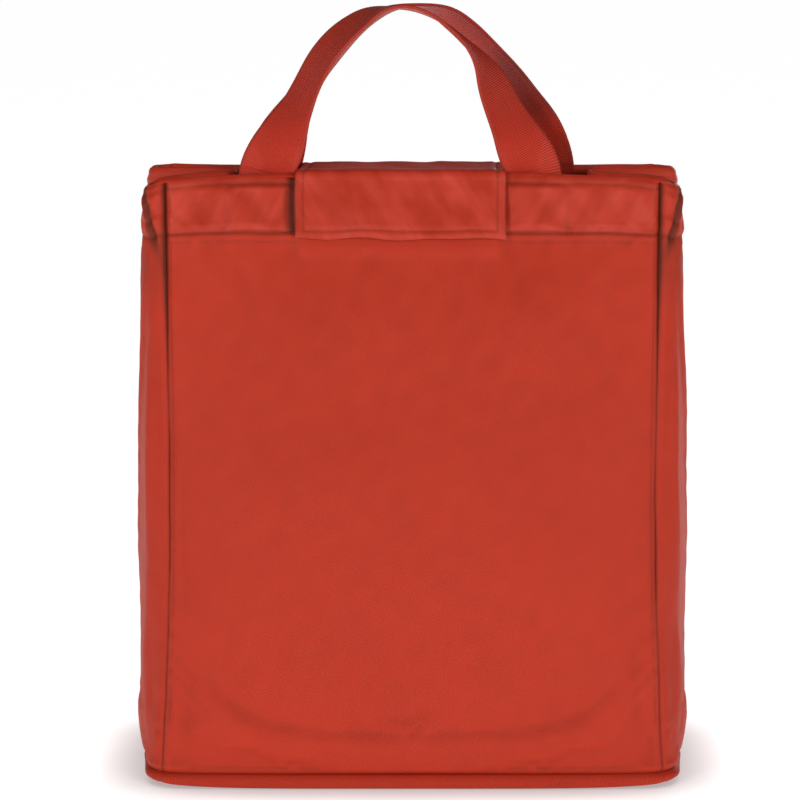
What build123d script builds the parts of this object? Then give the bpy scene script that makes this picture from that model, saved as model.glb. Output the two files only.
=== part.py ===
"""Insulated cooler bag: a non-woven tote with foam-backed foil walls, folded side gussets, a hook-and-loop
flap over the mouth and two webbing handles. Millimetres, +Z up, front towards -Y, origin under its middle."""

import os
from math import cos, hypot, radians, sin

from build123d import *

# Driving dimensions
RIM_Z = 330.0  # height of the mouth's rim
SEAM_Z = 8.5  # height of the seam between the walls and the base
FABRIC = 0.8  # outer non-woven cloth
FOAM = 2.2  # foil-faced foam behind it
GAP = 0.1  # air left between two layers
HEM_DEPTH = 32.0  # how far the rim's fold reaches down inside
STRAP_WIDTH = 30.0
STRAP_THICKNESS = 1.4
STRAP_SECTIONS = 28
# Each handle's arch: (share of its half span, height of the webbing's middle above the foot), from foot to top
FRONT_ARCH = [(1, 0), (0.93, 12.5), (0.865, 23), (0.79, 34), (0.715, 45.5), (0.6, 62), (0.45, 74.5), (0.31, 82.8)]
FRONT_ARCH += [(0.16, 88), (0, 89.5)]
REAR_ARCH = [(1, 0), (0.97, 12), (0.93, 23), (0.88, 33), (0.82, 43.5), (0.667, 60), (0.55, 71.5), (0.4, 80.5)]
REAR_ARCH += [(0.28, 85), (0.14, 87.5), (0, 88)]
# Each leg's turn from facing outward to lying flat: (share of the rise, degrees)
FRONT_TURNS = (
    [(0, 0), (0.12, 12), (0.3, 36), (0.5, 59), (0.7, 63), (0.86, 66), (0.95, 78), (1, 99)],
    [(0, 0), (0.12, 12), (0.3, 38), (0.5, 56), (0.7, 77), (0.86, 88), (0.95, 94), (1, 99)],
)
REAR_TURNS = (
    [(0, 0), (0.12, 12), (0.3, 36), (0.5, 60), (0.7, 66), (0.86, 72), (0.95, 77), (1, 81)],
    [(0, 0), (0.12, 10), (0.3, 32), (0.5, 50), (0.7, 62), (0.86, 73), (0.95, 78), (1, 81)],
)
HANDLE_FOOT_Z = 330.5
HANDLE_Y = 16.0  # distance of each handle from the bag's middle plane
FRONT_HANDLE_X, FRONT_HALF_SPAN = -6.7, 72.7
REAR_HANDLE_X, REAR_HALF_SPAN = -1.0, 75.0
FLAP_LEFT, FLAP_RIGHT = -63.2, 50.2
FLAP_ROOT_LEFT = -60.2  # the flap is a little narrower where it is sewn to the back
FLAP_DROP = 38.0  # length of the flap that hangs down the front
FLAP_LAYER = 0.7
FLAP_HINGE_Y, FLAP_HINGE_Z = 15.5, 331.5
STRIP_LENGTH, STRIP_WIDTH, STRIP_THICKNESS = 90.0, 20.0, 0.9  # hook and loop fastener

# The bag's shape at a few heights. Half sizes: seam x, seam y, y at the middle of the front, x at the
# middle of the side, and how deep the side folds inward.
SHAPE = [
    (SEAM_Z, 137.0, 68.0, 71.0, 146.5, 0.0),
    (40.0, 135.0, 68.0, 77.0, 150.0, 0.0),
    (100.0, 132.5, 66.0, 81.0, 151.5, 0.0),
    (165.0, 131.5, 61.0, 76.0, 151.5, 0.0),
    (215.0, 132.0, 54.0, 64.0, 151.0, 8.0),
    (260.0, 133.0, 45.0, 50.0, 150.0, 23.0),
    (297.0, 133.5, 37.0, 35.0, 149.0, 38.0),
    (RIM_Z, 134.0, 31.0, 21.0, 147.5, 50.0),
]
FACE_STEPS = (-1.0, -0.86, -0.62, -0.3, 0.0, 0.3, 0.62, 0.86, 1.0)  # across a wall, as a share of half of it
CORNER_GAP = 0.7  # a wall ends this far before the side seam
GUSSET_GAP = 0.3  # and a side this far before it
FOLD_RADIUS = 1.5  # half the width of the side's inward fold at its deepest line
FOAM_CORNER_GAP = 6.0  # foam and hem end this far before it


def shape_at(height):
    """The five half sizes of the bag at a height, straight between the heights that SHAPE gives."""
    for low, high in zip(SHAPE, SHAPE[1:]):
        if height <= high[0]:
            share = (height - low[0]) / (high[0] - low[0])
            return [a + (b - a) * share for a, b in zip(low[1:], high[1:])]
    return list(SHAPE[-1][1:])


def heights_between(bottom, top):
    """bottom, every height of SHAPE between, and top."""
    return [bottom, *(row[0] for row in SHAPE if bottom < row[0] < top), top]


def trimmed(line, gap):
    """The line with gap cut from each end."""

    def along(a, b):
        share = gap / hypot(b[0] - a[0], b[1] - a[1])
        return (a[0] + (b[0] - a[0]) * share, a[1] + (b[1] - a[1]) * share)

    return [along(line[0], line[1]), *line[1:-1], along(line[-1], line[-2])]


def wall_line(height, corner_gap, depth):
    """Points across the front wall, depth behind its outer face, from left to right."""
    seam_x, seam_y, middle_y, _, _ = shape_at(height)
    face = [(seam_x * u, -(seam_y + (middle_y - seam_y) * (1 - u**4)) + depth) for u in FACE_STEPS]
    return trimmed(face, corner_gap)


def side_line(height):
    """Points round the left side's outer face, from the front seam to the back seam."""
    seam_x, seam_y, _, side_x, fold = shape_at(height)
    tuck = fold / SHAPE[-1][5]
    front = [
        (-seam_x, -seam_y),
        (-(seam_x + 0.65 * (side_x - seam_x)), -seam_y * (0.82 + 0.1 * tuck)),
        (-(side_x - 3.0 + 2.0 * tuck), -seam_y * (0.5 + 0.2 * tuck)),
        (-(side_x - 0.8 - 2.2 * tuck), -seam_y * (0.22 + 0.22 * tuck)),
    ]
    front.append((-(side_x - fold), -(seam_y * 0.08 * (1 - tuck) + FOLD_RADIUS * tuck)))
    return [*front, *[(x, -y) for x, y in reversed(front)]]


def inset(line, depth):
    """The line moved towards the inside of the bag by depth, with mitred corners."""
    normals = []
    for (x0, y0), (x1, y1) in zip(line, line[1:]):
        length = hypot(x1 - x0, y1 - y0)
        normals.append(((y1 - y0) / length, (x0 - x1) / length))
    moved = []
    for (x, y), before, after in zip(line, [normals[0], *normals], [*normals, normals[-1]]):
        mitre = 1 + before[0] * after[0] + before[1] * after[1]
        moved.append((x + depth * (before[0] + after[0]) / mitre, y + depth * (before[1] + after[1]) / mitre))
    return moved


def wall_section(height, corner_gap, near, far):
    """Closed outline of a layer of the front wall, between two depths behind its outer face."""
    return [*wall_line(height, corner_gap, near), *reversed(wall_line(height, corner_gap, far))]


def side_section(height, corner_gap, near, far):
    """Closed outline of a layer of the left side, between two depths inside its outer face."""
    line = trimmed(side_line(height), corner_gap)
    return [*inset(line, near), *reversed(inset(line, far))]


def layer(section, flip, bottom, top, corner_gap, near, far):
    """A layer of one wall from bottom to top; flip holds the signs that turn x and y to the wall's side."""
    with BuildPart() as sheet:
        for height in heights_between(bottom, top):
            outline = section(height, corner_gap, near, far)
            with BuildSketch(Plane.XY.offset(height)):
                with BuildLine():
                    Polyline(*[(flip[0] * x, flip[1] * y) for x, y in outline], close=True)
                make_face()
        loft(ruled=True)
    return sheet.part


def save(part, name):
    part.label = name
    export_step(part, f"parts/{name}.step")
    print(name, "volume", round(part.volume), "solids", len(part.solids()))


os.makedirs("parts", exist_ok=True)

# Walls: outer cloth, foam behind it, and the hem that folds over the rim and down inside
CAP = 0.7  # thickness of the fold on top of the rim
FOAM_BACK = FABRIC + GAP + FOAM
HEM_FRONT = FOAM_BACK + GAP
HEM_BACK = HEM_FRONT + FABRIC
CLOTH_TOP = RIM_Z - CAP - GAP
SIDES = [
    ("front", "panel", wall_section, (1, 1), CORNER_GAP),
    ("back", "panel", wall_section, (1, -1), CORNER_GAP),
    ("left", "gusset", side_section, (1, 1), GUSSET_GAP),
    ("right", "gusset", side_section, (-1, 1), GUSSET_GAP),
]
for side, kind, section, flip, cloth_gap in SIDES:
    save(layer(section, flip, SEAM_Z, CLOTH_TOP, cloth_gap, 0.0, FABRIC), f"{side}_{kind}")
    foam = layer(section, flip, SEAM_Z + GAP, CLOTH_TOP, FOAM_CORNER_GAP, FABRIC + GAP, FOAM_BACK)
    save(foam, f"{side}_insulation")
    with BuildPart() as hem:
        add(layer(section, flip, RIM_Z - HEM_DEPTH, RIM_Z, FOAM_CORNER_GAP, HEM_FRONT, HEM_BACK))
        add(layer(section, flip, RIM_Z - CAP, RIM_Z, FOAM_CORNER_GAP, 0.0, HEM_BACK))
    save(hem.part, f"{side}_hem")


# Base: a shallow tray of cloth that bulges a little below the walls' bottom seam, with foam on its floor
def base_outline(height, margin):
    """Outline of the base, margin inside the line of the bottom seam."""
    front = wall_line(height, CORNER_GAP, 0.0)
    left = side_line(height)[1:-1]
    back = [(x, -y) for x, y in reversed(front)]
    right = [(-x, y) for x, y in left]
    ring = [*front, *right, *back, *reversed(left)]
    half_x, half_y = shape_at(height)[3], shape_at(height)[2]
    return [(x * (1 - margin / half_x), y * (1 - margin / half_y)) for x, y in ring]


BASE_TOP = SEAM_Z - 0.1
BASE_LEVELS = [(0.0, 4.5), (1.2, 1.8), (4.0, 0.0), (BASE_TOP, 0.6)]  # height, margin of the outer face


def base_solid(levels):
    with BuildPart() as block:
        for height, margin in levels:
            with BuildSketch(Plane.XY.offset(height)):
                with BuildLine():
                    Polyline(*base_outline(SEAM_Z, margin), close=True)
                make_face()
        loft(ruled=True)
    return block.part


with BuildPart() as base_panel:
    add(base_solid(BASE_LEVELS))
    hollow = [(max(height, FABRIC), margin + FABRIC) for height, margin in BASE_LEVELS]
    add(base_solid(hollow), mode=Mode.SUBTRACT)
save(base_panel.part, "base_panel")

base_foam = [(FABRIC + GAP, 7.0), (FABRIC + GAP + FOAM, 5.0)]
save(base_solid(base_foam), "base_insulation")


# Handles
def between(table, share):
    """The value at share in a table of (share, value) pairs, in a straight line between them."""
    for (low, first), (high, second) in zip(table, table[1:]):
        if share <= high:
            return first + (second - first) * (share - low) / (high - low)
    return table[-1][1]


def strap(middle_x, half_span, middle_y, outer_edge_goes, arch_points, turns):
    """A webbing handle that leaves the rim face-on, leans inward and turns to lie flat at its top."""
    left = [(-share * half_span, z) for share, z in arch_points]
    points = left + [(-x, z) for x, z in reversed(left[:-1])]
    top = points[len(left) - 1][1]
    with BuildLine() as arch:
        Spline(
            *[(middle_x + x, middle_y, HANDLE_FOOT_Z + z) for x, z in points],
            tangents=[(0, 0, 1), (0, 0, -1)],
        )
    path = arch.line
    with BuildPart() as webbing:
        for step in range(STRAP_SECTIONS + 1):
            middle, along = path @ (step / STRAP_SECTIONS), path % (step / STRAP_SECTIONS)
            outward = Vector(-along.Z, 0, along.X)
            rise = min(max((middle.Z - HANDLE_FOOT_Z) / top, 0.0), 1.0)
            turn = radians(between(turns[0 if middle.X < middle_x else 1], rise))
            across = outward * cos(turn) + Vector(0, outer_edge_goes, 0) * sin(turn)
            with BuildSketch(Plane(origin=middle, x_dir=across, z_dir=along)):
                Rectangle(STRAP_WIDTH, STRAP_THICKNESS)
        loft(ruled=True)
    return webbing.part


def tail(left, right, thickness, top_y, way):
    """A strip sewn flat against the inside of the hem; way is -1 at the front and 1 at the back."""
    bottom = RIM_Z - HEM_DEPTH + 2
    lean = (shape_at(bottom)[2] - shape_at(RIM_Z)[2]) * way
    with BuildPart() as strip:
        for height, shift in ((bottom, lean), (RIM_Z - 0.2, 0.0)):
            with BuildSketch(Plane.XY.offset(height)):
                with Locations(((left + right) / 2, top_y + shift)):
                    Rectangle(right - left, thickness)
        loft(ruled=True)
    return strip.part


HANDLES = [
    ("front", FRONT_HANDLE_X, FRONT_HALF_SPAN, -1, FRONT_ARCH, FRONT_TURNS),
    ("rear", REAR_HANDLE_X, REAR_HALF_SPAN, 1, REAR_ARCH, REAR_TURNS),
]
for name, middle_x, half_span, way, arch_points, turns in HANDLES:
    save(strap(middle_x, half_span, way * HANDLE_Y, -way, arch_points, turns), f"{name}_handle_strap")
    with BuildPart() as ends:
        for foot in (middle_x - half_span, middle_x + half_span):
            edges = (foot - STRAP_WIDTH / 2, foot + STRAP_WIDTH / 2)
            add(tail(*edges, STRAP_THICKNESS, way * HANDLE_Y, way))
    save(ends.part, f"{name}_handle_ends")

# Flap: two layers from the back rim over the mouth, then down the front, with the fastener behind its tip
save(tail(FLAP_ROOT_LEFT, FLAP_RIGHT, 2 * FLAP_LAYER, HANDLE_Y, 1), "flap_tail")

CREASE_Y = -22.9
for name, bottom in (("flap_lining", RIM_Z + 0.7), ("flap_cover", RIM_Z + 0.8 + FLAP_LAYER)):
    with BuildPart() as bridge:
        with BuildSketch(Plane.XY.offset(bottom)):
            with BuildLine():
                Polyline(
                    (FLAP_ROOT_LEFT, FLAP_HINGE_Y - 0.2),
                    (FLAP_RIGHT, FLAP_HINGE_Y - 0.2),
                    (FLAP_RIGHT, CREASE_Y),
                    (FLAP_LEFT, CREASE_Y),
                    close=True,
                )
            make_face()
        extrude(amount=FLAP_LAYER)
    save(bridge.part, name)

# The front leans back towards the rim; the tip and both strips lie along that slope
FACE_TOP = Vector(0, -SHAPE[-1][3] - 0.5, RIM_Z)
SLOPE = Vector(0, shape_at(RIM_Z)[2] - shape_at(297.0)[2], 297.0 - RIM_Z).normalized()
FACE_OUT = Vector(0, SLOPE.Z, -SLOPE.Y)


def against_front(left, right, start, end, near, far):
    """A flat piece along the leaning front face: start and end down the slope, near and far in front of it."""
    corners = [(start, near), (end, near), (end, far), (start, far)]
    places = [FACE_TOP + SLOPE * down + FACE_OUT * out for down, out in corners]
    with BuildPart() as piece:
        with BuildSketch(Plane.YZ.offset(left)):
            with BuildLine():
                Polyline(*[(place.Y, place.Z) for place in places], close=True)
            make_face()
        extrude(amount=right - left)
    return piece.part


STRIP_GAP = 0.2
LOOP_FRONT = STRIP_GAP + STRIP_THICKNESS
HOOK_FRONT = LOOP_FRONT + STRIP_GAP + STRIP_THICKNESS
LINING_FRONT = HOOK_FRONT + GAP + FLAP_LAYER
STRIP_LEFT = (FLAP_LEFT + FLAP_RIGHT - STRIP_LENGTH) / 2
STRIP_RIGHT = STRIP_LEFT + STRIP_LENGTH
STRIP_TOP = 10.0
STRIP_END = STRIP_TOP + STRIP_WIDTH
save(against_front(STRIP_LEFT, STRIP_RIGHT, STRIP_TOP, STRIP_END, STRIP_GAP, LOOP_FRONT), "loop_strip")
hook = against_front(STRIP_LEFT, STRIP_RIGHT, STRIP_TOP, STRIP_END, LOOP_FRONT + STRIP_GAP, HOOK_FRONT)
save(hook, "hook_strip")
TIP_START = 1.5  # clear of the crease, so that the tip can turn there
for name, near in (("flap_tip_lining", HOOK_FRONT + GAP), ("flap_tip_cover", LINING_FRONT + GAP)):
    save(against_front(FLAP_LEFT, FLAP_RIGHT, TIP_START, FLAP_DROP, near, near + FLAP_LAYER), name)
crease = FACE_TOP + FACE_OUT * (HOOK_FRONT + GAP + FLAP_LAYER / 2)
print("flap tip's hinge y, z", round(crease.Y, 2), round(crease.Z, 2))
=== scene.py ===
"""Looks of the insulated cooler bag: non-woven cloth walls over foil-faced foam, rolled hems, a topstitched
flap and two ribbed webbing handles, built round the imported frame. Metres, +Z up, front towards -Y."""

import math

import bpy
import numpy as np
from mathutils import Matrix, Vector


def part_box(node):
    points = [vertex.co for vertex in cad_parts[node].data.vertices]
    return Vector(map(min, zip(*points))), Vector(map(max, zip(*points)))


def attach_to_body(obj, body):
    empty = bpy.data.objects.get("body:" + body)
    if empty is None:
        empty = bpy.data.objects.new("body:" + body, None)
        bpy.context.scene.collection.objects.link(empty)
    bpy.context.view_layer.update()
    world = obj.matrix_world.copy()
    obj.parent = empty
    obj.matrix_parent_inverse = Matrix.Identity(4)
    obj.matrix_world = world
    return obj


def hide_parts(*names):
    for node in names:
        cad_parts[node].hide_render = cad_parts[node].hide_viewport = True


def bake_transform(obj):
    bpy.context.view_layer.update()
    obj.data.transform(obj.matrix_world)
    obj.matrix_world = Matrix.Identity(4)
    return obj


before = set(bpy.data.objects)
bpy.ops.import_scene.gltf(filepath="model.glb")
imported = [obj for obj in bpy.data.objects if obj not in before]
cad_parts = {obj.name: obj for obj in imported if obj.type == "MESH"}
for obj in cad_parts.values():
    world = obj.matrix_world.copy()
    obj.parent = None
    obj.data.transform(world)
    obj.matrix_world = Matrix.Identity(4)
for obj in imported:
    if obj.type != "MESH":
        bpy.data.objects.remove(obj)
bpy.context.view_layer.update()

MM = 0.001

# Layers of a wall, as depths behind its outer face
CLOTH = 0.8 * MM
FOAM_NEAR, FOAM_FAR = 0.95 * MM, 3.0 * MM
THREAD = 0.2 * MM  # radius of a stitch
STITCH_PITCH, STITCH_LENGTH = 3.1 * MM, 2.3 * MM

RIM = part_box("front_hem")[1].z
HEM_LINE = 300.0 * MM  # height of the stitches that hold the hem
ROLL_FOOT = 326.4 * MM  # where the cloth tucks in under the rolled rim
SEAM_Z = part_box("front_panel")[0].z


# ---------------------------------------------------------------- small maths
def ease(x):
    """0 below 0, 1 above 1, smooth between."""
    x = np.clip(x, 0.0, 1.0)
    return x * x * (3.0 - 2.0 * x)


def ridge(x, width):
    """1 at x = 0, fading over width to each side."""
    return np.exp(-((x / width) ** 2))


def band(x, low, high, soft):
    """1 between low and high, fading over soft at each end."""
    return ease((x - low) / soft + 0.5) * ease((high - x) / soft + 0.5)


def waves(a, b, length, seed, count=12, stretch=1.0):
    """Smooth random undulation over a and b, mostly -1 to 1, with features about length long."""
    draw = np.random.default_rng(seed)
    total = 0.0
    for _ in range(count):
        heading, phase = draw.uniform(0.0, 2.0 * np.pi, 2)
        rate = 2.0 * np.pi / length * draw.uniform(0.6, 1.4)
        total = total + np.sin(rate * (a * np.cos(heading) + b / stretch * np.sin(heading)) + phase)
    return total / np.sqrt(count)


def hermite(knots, values):
    """A function that runs smoothly through values at knots."""
    knots, values = np.asarray(knots, float), np.asarray(values, float)
    slopes = np.gradient(values, knots)

    def at(x):
        x = np.clip(x, knots[0], knots[-1])
        i = np.clip(np.searchsorted(knots, x) - 1, 0, len(knots) - 2)
        span = knots[i + 1] - knots[i]
        t = (x - knots[i]) / span
        rise = (2 * t**3 - 3 * t**2 + 1) * values[i] + (3 * t**2 - 2 * t**3) * values[i + 1]
        return rise + (t**3 - 2 * t**2 + t) * span * slopes[i] + (t**3 - t**2) * span * slopes[i + 1]

    return at


def steps(*stretches):
    """Grid lines: each stretch is (start, end, spacing), and neighbours share their ends."""
    lines = [np.linspace(a, b, max(2, round((b - a) / gap) + 1)) for a, b, gap in stretches]
    return np.unique(np.concatenate(lines).round(7))


def smooth_run(values, reach):
    """Values along a line, averaged over reach steps to each side."""
    count = int(3 * reach)
    kernel = np.exp(-0.5 * (np.arange(-count, count + 1) / reach) ** 2)
    before = 2 * values[0] - values[count:0:-1]
    after = 2 * values[-1] - values[-2 : -2 - count : -1]
    return np.convolve(np.concatenate([before, values, after]), kernel / kernel.sum(), "valid")


def unit(v):
    return v / np.maximum(np.linalg.norm(v, axis=-1, keepdims=True), 1e-12)


def normals_of(grid):
    """Normals of a grid of points, rows by columns; they point along columns x rows."""
    return unit(np.cross(np.gradient(grid, axis=1), np.gradient(grid, axis=0)))


def facing(grid, away):
    """Normals of a grid of points, on the side that away points to."""
    normal = normals_of(grid)
    return normal if np.sum(normal * np.array(away, float)) > 0 else -normal


def mirrored(grid, signs):
    return grid * np.array(signs, float)


def lengths_along(line):
    """Distance of each point of a line from its start, along it."""
    return np.concatenate([[0.0], np.cumsum(np.linalg.norm(np.diff(line, axis=0), axis=1))])


def sampled(at, run, line):
    """A line's points at the given distances along it."""
    return np.stack([np.interp(at, run, column) for column in line.T], axis=1)


# ---------------------------------------------------------------- meshes
def mesh_object(name, points, faces, uvs, material, marks=None):
    """A smooth object, sharp at its cut edges; uvs give each point's place on the flat cloth, and marks are
    values the material reads at each point: painted shade in the creases and under parts, and lower
    roughness with painted sheen streaks."""
    mesh = bpy.data.meshes.new(name)
    mesh.from_pydata(points.tolist(), [], faces)
    mesh.update()
    layer = mesh.uv_layers.new(name="cloth")
    corner = np.zeros(len(mesh.loops), np.int32)
    mesh.loops.foreach_get("vertex_index", corner)
    layer.data.foreach_set("uv", uvs[corner].astype(np.float32).ravel())
    for key, values in (marks or {}).items():
        attribute = mesh.attributes.new(key, "FLOAT", "POINT")
        attribute.data.foreach_set("value", values.astype(np.float32).ravel())
    mesh.shade_smooth()
    mesh.set_sharp_from_angle(angle=math.radians(50))
    mesh.materials.append(material)
    made = bpy.data.objects.new(name, mesh)
    bpy.context.scene.collection.objects.link(made)
    return made


def faces_out(points, faces):
    """The faces, turned over if they enclose a negative volume."""
    volume = 0.0
    for face in faces[:: max(1, len(faces) // 20000)]:
        a = points[face[0]]
        for i in range(1, len(face) - 1):
            volume += np.dot(a, np.cross(points[face[i]], points[face[i + 1]]))
    return faces if volume > 0 else [face[::-1] for face in faces]


def quads(low, high):
    """Quads between two equally long rows of point numbers."""
    return np.stack([low[:-1], low[1:], high[1:], high[:-1]], axis=-1).reshape(-1, 4).tolist()


def sheet_solid(name, outer, inner, uv, material, **marks):
    """A closed sheet between two grids of points."""
    rows, cols = outer.shape[:2]
    index = np.arange(rows * cols).reshape(rows, cols)
    points = np.concatenate([outer.reshape(-1, 3), inner.reshape(-1, 3)])
    faces = []
    for r in range(rows - 1):
        faces += quads(index[r], index[r + 1])
        faces += [f[::-1] for f in quads(index[r] + rows * cols, index[r + 1] + rows * cols)]
    ring = np.concatenate([index[0], index[1:, -1], index[-1, -2::-1], index[-2:0:-1, 0], index[0, :1]])
    faces += [f[::-1] for f in quads(ring, ring + rows * cols)]
    flat = np.concatenate([uv.reshape(-1, 2)] * 2)
    marks = {key: np.concatenate([(0 * outer[..., 0] + value).ravel()] * 2) for key, value in marks.items()}
    return mesh_object(name, points, faces_by_grid(outer, inner, faces), flat, material, marks)


def faces_by_grid(outer, inner, faces):
    """The faces, turned over if the outer grid's own normals point at the inner grid."""
    towards = np.sum(normals_of(outer) * (outer - inner), axis=-1).mean()
    return faces if towards > 0 else [f[::-1] for f in faces]


def tube_solid(name, sections, uv, material, **marks):
    """A closed piece through ring-shaped sections, rows by points round the ring."""
    rows, cols = sections.shape[:2]
    index = np.arange(rows * cols).reshape(rows, cols)
    closed = np.concatenate([index, index[:, :1]], axis=1)
    faces = []
    for r in range(rows - 1):
        faces += quads(closed[r], closed[r + 1])
    faces += [index[0][::-1].tolist(), index[-1].tolist()]
    points = sections.reshape(-1, 3)
    return mesh_object(name, points, faces_out(points, faces), uv.reshape(-1, 2), material, marks)


def bowl_solid(name, outer, inner, material):
    """A closed bowl through two sets of rings, each from the lip to the middle of its floor."""
    rows, cols = outer.shape[:2]
    index = np.arange(rows * cols).reshape(rows, cols)
    closed = np.concatenate([index, index[:, :1]], axis=1)
    shift = rows * cols
    faces = []
    for r in range(rows - 1):
        faces += quads(closed[r], closed[r + 1])
        faces += [f[::-1] for f in quads(closed[r] + shift, closed[r + 1] + shift)]
    faces += [f[::-1] for f in quads(closed[0], closed[0] + shift)]
    faces += [index[-1].tolist(), (index[-1] + shift)[::-1].tolist()]
    points = np.concatenate([outer.reshape(-1, 3), inner.reshape(-1, 3)])
    return mesh_object(name, points, faces_out(points, faces), points[:, :2], material)


# A stitch: (place along it, thickness, height over the cloth), as shares of its length and of its thread
STITCH = ((-0.5, 0.35, -1.9), (-0.36, 0.9, -0.5), (0.0, 1.0, -0.05), (0.36, 0.9, -0.5), (0.5, 0.35, -1.9))


def stitches(name, lines, material):
    """Rows of thread: each line is (points, normals) along the cloth, and each stitch dips at its ends."""
    around = np.linspace(0.0, 2.0 * np.pi, 6, endpoint=False)
    sides, rings = len(around), len(STITCH)
    points, faces = [], []
    for line, normal in lines:
        run = lengths_along(line)
        for place in np.arange(STITCH_PITCH / 2, run[-1] - STITCH_LENGTH / 2, STITCH_PITCH):
            at = place + np.array([share for share, _, _ in STITCH]) * STITCH_LENGTH
            middle, up = sampled(at, run, line), unit(sampled(at, run, normal))
            side = unit(np.cross(up, unit(middle[-1] - middle[0])))
            base = len(points)
            for m, u, s, (_, w, d) in zip(middle, up, side, STITCH):
                for a in around:
                    points.append(m + THREAD * (u * (d + w * math.sin(a)) + s * w * 1.15 * math.cos(a)))
            for r in range(rings - 1):
                for k in range(sides):
                    a, b = base + r * sides + k, base + r * sides + (k + 1) % sides
                    faces.append([a, b, b + sides, a + sides])
            faces.append([base + k for k in range(sides - 1, -1, -1)])
            faces.append([base + sides * (rings - 1) + k for k in range(sides)])
    points = np.array(points)
    return mesh_object(name, points, faces, points[:, [0, 2]], material)


# ---------------------------------------------------------------- materials
def material(name, base, roughness, build, **sockets):
    """A Principled material with plain values on its sockets; build wires its colour, roughness and bump."""
    made = bpy.data.materials.new(name)
    made.use_nodes = True
    tree = made.node_tree
    shader = tree.nodes["Principled BSDF"]
    shader.inputs["Base Color"].default_value = (*base, 1.0)
    shader.inputs["Roughness"].default_value = roughness
    for socket, value in sockets.items():
        shader.inputs[socket.replace("_", " ")].default_value = value
    build(tree, shader)
    return made


def node(tree, kind, links=(), **values):
    """A node with its inputs and settings; links are (input, socket) pairs."""
    made = tree.nodes.new(kind)
    for key, value in values.items():
        if key in made.inputs:
            made.inputs[key].default_value = value
        else:
            setattr(made, key, value)
    for key, socket in links:
        tree.links.new(socket, made.inputs[key])
    return made


def calc(tree, operation, *terms, clamp=False):
    """A Math node on sockets or numbers; gives its result."""
    made = tree.nodes.new("ShaderNodeMath")
    made.operation = operation
    made.use_clamp = clamp
    for slot, term in zip(made.inputs, terms):
        if isinstance(term, (int, float)):
            slot.default_value = term
        else:
            tree.links.new(term, slot)
    return made.outputs[0]


def flat_place(tree):
    """Place on the flat cloth: its vector, and its two lengths in metres."""
    place = node(tree, "ShaderNodeUVMap", uv_map="cloth").outputs["UV"]
    split = node(tree, "ShaderNodeSeparateXYZ", [("Vector", place)])
    return place, split.outputs["X"], split.outputs["Y"]


def noise(tree, place, scale, detail=2.0, rough=0.5):
    made = node(tree, "ShaderNodeTexNoise", [("Vector", place)], Scale=scale, Detail=detail, Roughness=rough)
    return made.outputs["Fac"]


def tint(tree, factor, dark, light, low=0.3, high=0.7):
    """A colour that goes from dark to light as factor goes from low to high."""
    ramp = node(tree, "ShaderNodeValToRGB", [("Fac", factor)])
    ramp.color_ramp.elements[0].position = low
    ramp.color_ramp.elements[1].position = high
    ramp.color_ramp.elements[0].color = (*dark, 1.0)
    ramp.color_ramp.elements[1].color = (*light, 1.0)
    return ramp.outputs["Color"]


def blended(tree, factor, first, second, mode="MIX"):
    """Two colours mixed by factor."""
    made = tree.nodes.new("ShaderNodeMix")
    made.data_type = "RGBA"
    made.blend_type = mode
    for slot, term in ((0, factor), (6, first), (7, second)):
        if isinstance(term, (int, float)):
            made.inputs[slot].default_value = term
        elif isinstance(term, tuple):
            made.inputs[slot].default_value = (*term, 1.0)
        else:
            tree.links.new(term, made.inputs[slot])
    return made.outputs[2]


def raise_surface(tree, shader, heights):
    """Bumps from (height, distance, strength) layers, one over the other."""
    under = None
    for height, distance, strength in heights:
        bump = node(tree, "ShaderNodeBump", [("Height", height)], Distance=distance, Strength=strength)
        if under is not None:
            tree.links.new(under, bump.inputs["Normal"])
        under = bump.outputs["Normal"]
    tree.links.new(under, shader.inputs["Normal"])


def shaded(colour, share):
    return tuple(channel * share for channel in colour)


def mottled(tree, ground, share, factor, colour, low, high):
    """The ground with a share of the colour that factor darkens to low and lightens to high."""
    return blended(tree, share, ground, tint(tree, factor, shaded(colour, low), shaded(colour, high)))


def stretched(tree, place, scale, kind="POINT", turn=0.0):
    """A place scaled by its two sides; a TEXTURE mapping turns it before that."""
    made = node(tree, "ShaderNodeMapping", [("Vector", place)], vector_type=kind)
    made.inputs["Rotation"].default_value = (0.0, 0.0, turn)
    made.inputs["Scale"].default_value = (*scale, 1.0)
    return made.outputs["Vector"]


def mark(tree, name):
    """A value that the mesh carries at each point."""
    return node(tree, "ShaderNodeAttribute", attribute_name=name).outputs["Fac"]


def coloured(tree, shader, colour, roughness=None):
    tree.links.new(colour, shader.inputs["Base Color"])
    if roughness is not None:
        tree.links.new(roughness, shader.inputs["Roughness"])


RED = (0.54, 0.033, 0.0095)
WEBBING_RED = (0.53, 0.03, 0.0095)
# Colours of the painted shade in creases, on the cloth and on the webbing
CLOTH_PAINTED_SHADE, WEBBING_PAINTED_SHADE = (0.06, 0.014, 0.004), (0.05, 0.012, 0.009)
LATTICE = 1.45 * MM  # pitch of the embossed diamonds
RIB = 1.15 * MM  # pitch of the webbing's cross ribs
YARN = 1.3 * MM


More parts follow.
